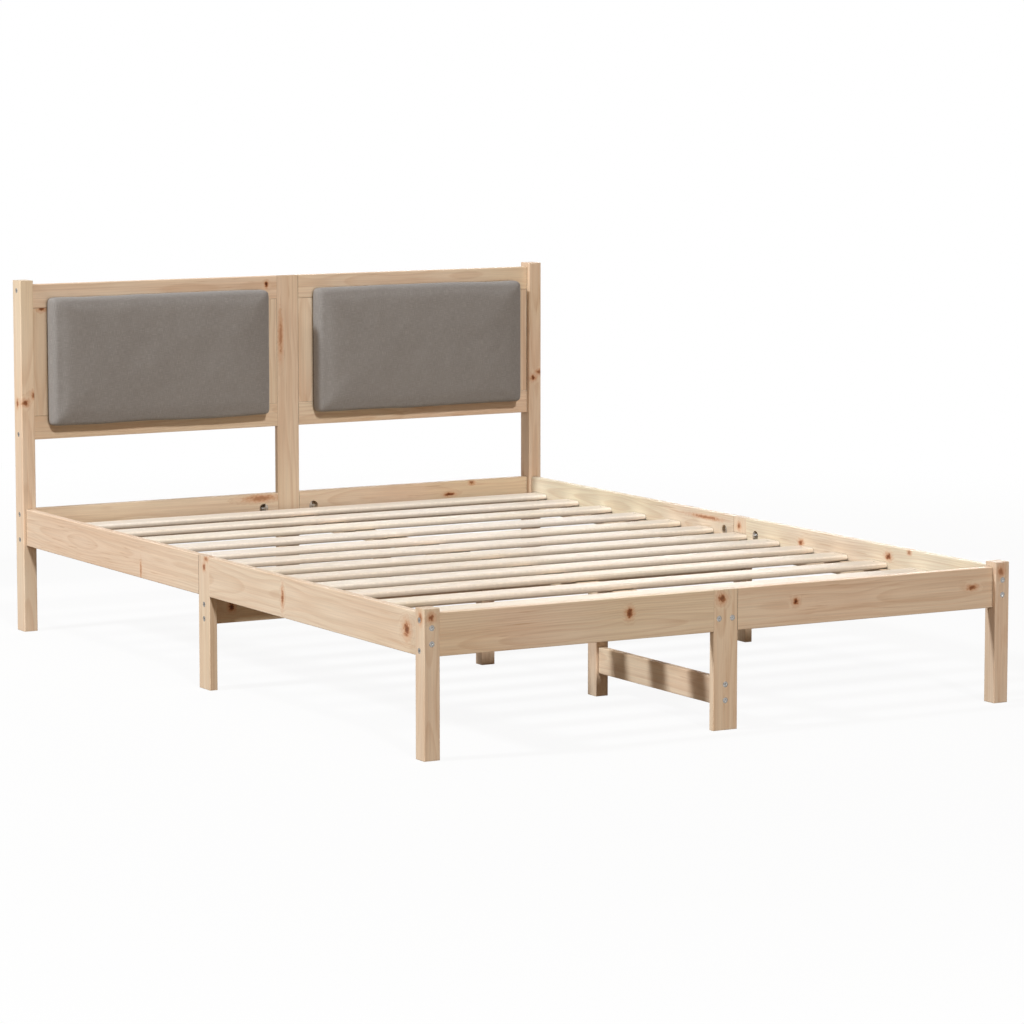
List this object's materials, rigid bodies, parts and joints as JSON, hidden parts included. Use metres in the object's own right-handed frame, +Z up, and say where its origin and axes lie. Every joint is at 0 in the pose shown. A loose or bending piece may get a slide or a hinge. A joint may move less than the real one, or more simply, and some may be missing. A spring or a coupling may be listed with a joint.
{
  "type": "double bed",
  "caption": "Low double bed frame of pine boards with slats, flat middle legs and an open headboard that carries padded linen cushions.",
  "frame": {"origin": "on the floor, under the middle of the bed", "axes": "+Y runs along the bed from the foot to the head, +Z is up, +X is to the right for someone at the foot"},
  "size_m": [1.455, 2.068, 0.854],
  "materials": {
    "pine": "sanded, clear matt lacquer",
    "slat_pine": "planed, bare",
    "plywood": "bare",
    "dowel_beech": "bare",
    "linen": "woven, matt",
    "zinc_steel": "zinc plated"
  },
  "bodies": {
    "root": {"centre_beam_foot": "pine", "centre_beam_head": "pine", "cross_beam_left": "pine", "cross_beam_right": "pine", "cushion_board_left": "plywood", "cushion_board_right": "plywood", "cushion_left": "linen", "cushion_right": "linen", "dowels": "dowel_beech", "foot_centre_leg": "pine", "foot_leg_left": "pine", "foot_leg_right": "pine", "foot_rail_left": "pine", "foot_rail_right": "pine", "half_moon_washers": "zinc_steel", "head_centre_post": "pine", "head_post_left": "pine", "head_post_right": "pine", "head_rail_left": "pine", "head_rail_right": "pine", "headboard_left_bottom_rail": "pine", "headboard_left_inner_stile": "pine", "headboard_left_outer_stile": "pine", "headboard_left_top_rail": "pine", "headboard_right_bottom_rail": "pine", "headboard_right_inner_stile": "pine", "headboard_right_outer_stile": "pine", "headboard_right_top_rail": "pine", "joint_screws": "zinc_steel", "ledger_left_foot": "pine", "ledger_left_head": "pine", "ledger_right_foot": "pine", "ledger_right_head": "pine", "mid_centre_leg": "pine", "mid_leg_left": "pine", "mid_leg_right": "pine", "quarter_leg_foot": "pine", "quarter_leg_head": "pine", "rail_studs": "zinc_steel", "side_rail_left_foot": "pine", "side_rail_left_head": "pine", "side_rail_right_foot": "pine", "side_rail_right_head": "pine", "slat_01": "slat_pine", "slat_02": "slat_pine", "slat_03": "slat_pine", "slat_04": "slat_pine", "slat_05": "slat_pine", "slat_06": "slat_pine", "slat_07": "slat_pine", "slat_08": "slat_pine", "slat_09": "slat_pine", "slat_10": "slat_pine", "slat_11": "slat_pine", "slat_12": "slat_pine", "slat_13": "slat_pine", "stretcher_foot": "pine", "stretcher_head": "pine", "stud_nuts": "zinc_steel", "wood_screws": "zinc_steel"}
  },
  "joints": []
}
